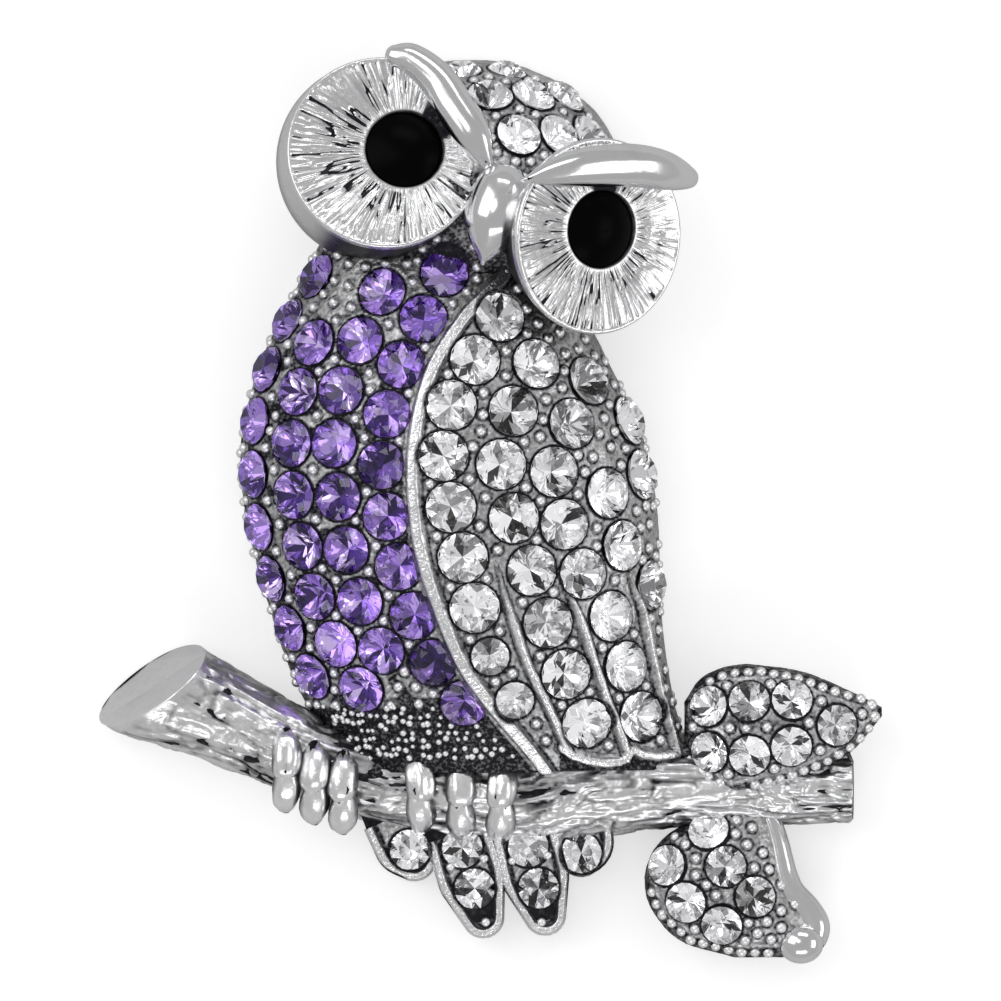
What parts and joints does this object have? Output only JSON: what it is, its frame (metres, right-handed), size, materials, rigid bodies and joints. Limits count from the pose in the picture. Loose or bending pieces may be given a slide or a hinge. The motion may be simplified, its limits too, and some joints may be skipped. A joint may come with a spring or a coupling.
{
  "type": "figural animal brooch",
  "caption": "Cast metal brooch shaped as an owl on a branch, set with violet and clear faceted stones, with a pin on its back.",
  "frame": {"origin": "middle of the brooch's outline, on the plane of its back that it lies on", "axes": "+Z out of the face, +Y toward the top of the head, +X to the wearer's left, which is the picture's right"},
  "size_m": [0.0432, 0.0506, 0.0126],
  "materials": {
    "white_metal": "plated white metal with blackened recesses",
    "violet_stone": "foiled cut glass",
    "clear_stone": "foiled cut glass",
    "black_stone": "smooth black glass",
    "pin_metal": "plated steel"
  },
  "bodies": {
    "root": {"casting": "white_metal", "breast_stones": "violet_stone", "wing_stones": "clear_stone", "head_stones": "clear_stone", "tail_stones": "clear_stone", "upper_leaf_stones": "clear_stone", "lower_leaf_stones": "clear_stone", "left_eye_stone": "black_stone", "right_eye_stone": "black_stone", "pin_finding": "pin_metal"}
  },
  "joints": []
}
